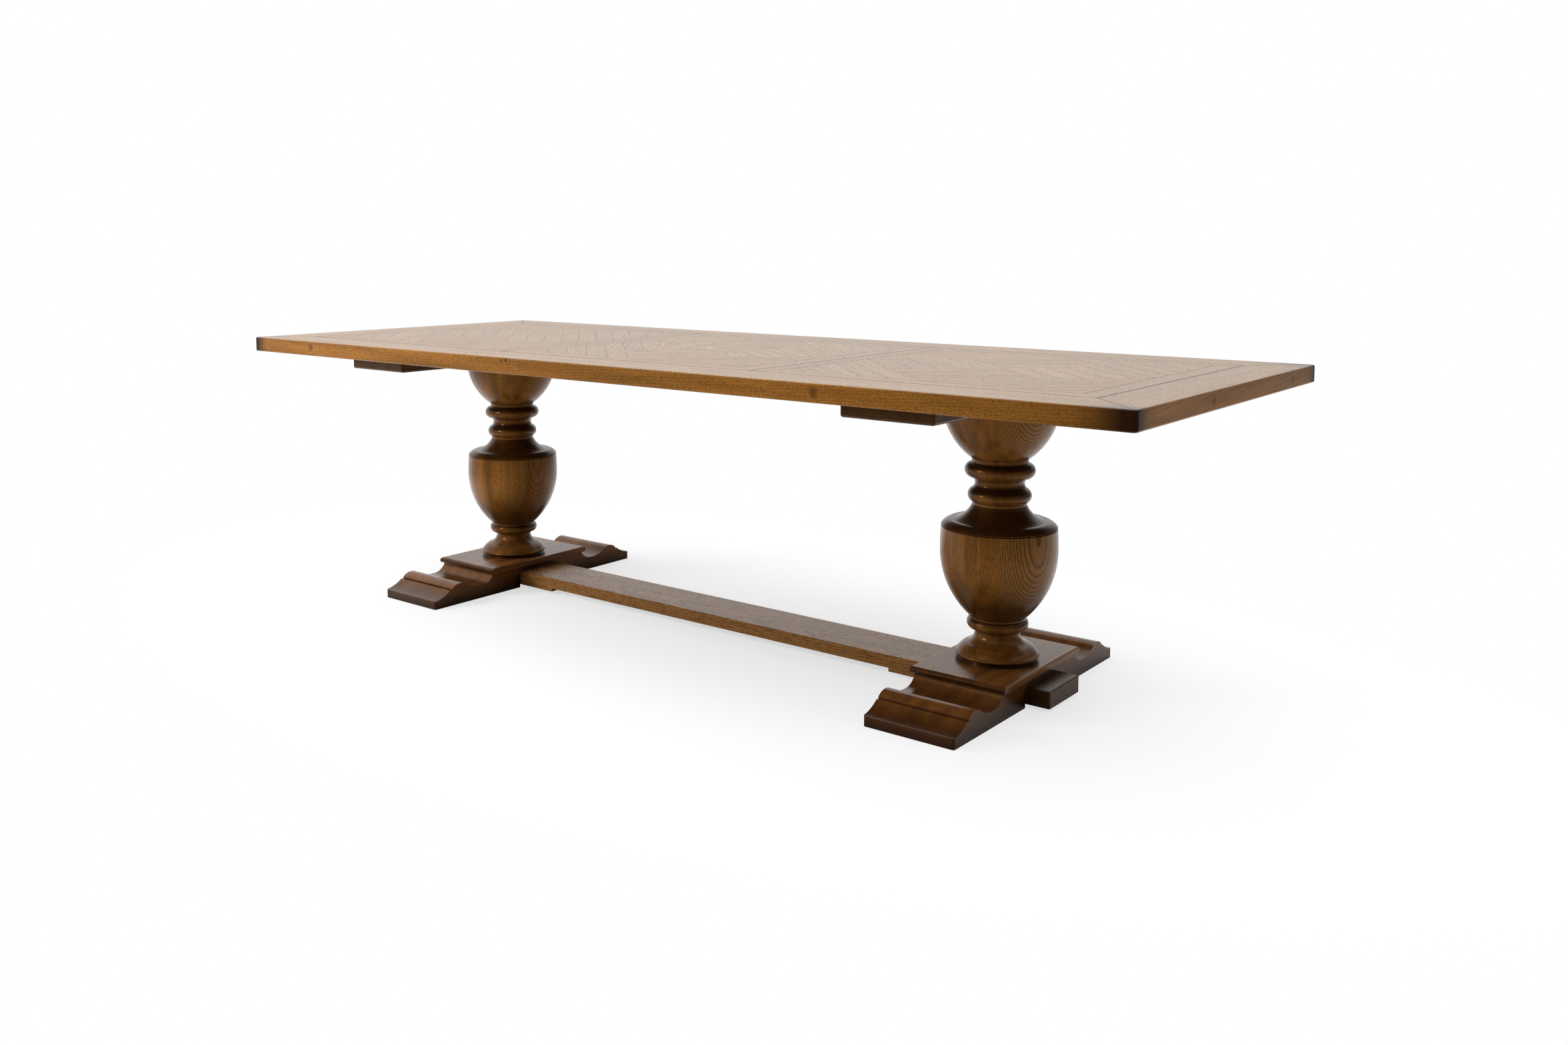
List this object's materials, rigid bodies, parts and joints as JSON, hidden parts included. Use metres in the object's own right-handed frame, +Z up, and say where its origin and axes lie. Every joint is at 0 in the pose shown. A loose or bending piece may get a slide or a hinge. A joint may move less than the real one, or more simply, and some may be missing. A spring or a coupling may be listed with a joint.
{
  "type": "refectory table",
  "caption": "Oak refectory table: parquetry top in a mitred frame on turned urn columns, moulded sledge feet and a low stretcher board.",
  "frame": {"origin": "on the floor under the middle of the top", "axes": "+X along the table, +Y across it to the far side, +Z up"},
  "size_m": [2.8, 1.1, 0.77],
  "materials": {
    "frame_oak": "satin lacquer over a brown stain, antiqued at the joints",
    "tongue_wood": "bare planed beech",
    "ground_board": "stained plywood",
    "band_oak": "satin lacquer over a brown stain",
    "diamond_oak": "satin lacquer over a brown stain",
    "corner_oak": "satin lacquer over a brown stain",
    "bearer_oak": "satin lacquer over a dark stain",
    "column_oak": "satin lacquer over a brown stain, darker in the hollows",
    "foot_oak": "satin lacquer over a dark stain",
    "stretcher_oak": "satin lacquer over a brown stain",
    "fixing_steel": "zinc plated steel"
  },
  "bodies": {
    "root": {"top_rail_front": "frame_oak", "top_rail_back": "frame_oak", "top_rail_left": "frame_oak", "top_rail_right": "frame_oak", "mitre_tongues": "tongue_wood", "ground_board": "ground_board", "band_long_left": "band_oak", "band_cross_left": "band_oak", "diamond_rising_left": "diamond_oak", "diamond_falling_left": "diamond_oak", "corner_rising_left": "corner_oak", "corner_falling_left": "corner_oak", "band_long_middle": "band_oak", "band_cross_middle": "band_oak", "diamond_rising_middle": "diamond_oak", "diamond_falling_middle": "diamond_oak", "corner_rising_middle": "corner_oak", "corner_falling_middle": "corner_oak", "band_long_right": "band_oak", "band_cross_right": "band_oak", "diamond_rising_right": "diamond_oak", "diamond_falling_right": "diamond_oak", "corner_rising_right": "corner_oak", "corner_falling_right": "corner_oak", "bearer_left": "bearer_oak", "column_left": "column_oak", "foot_left": "foot_oak", "foot_cap_left": "foot_oak", "bearer_right": "bearer_oak", "column_right": "column_oak", "foot_right": "foot_oak", "foot_cap_right": "foot_oak", "stretcher": "stretcher_oak", "top_screws": "fixing_steel", "column_bolts": "fixing_steel", "bolt_washers": "fixing_steel"}
  },
  "joints": []
}
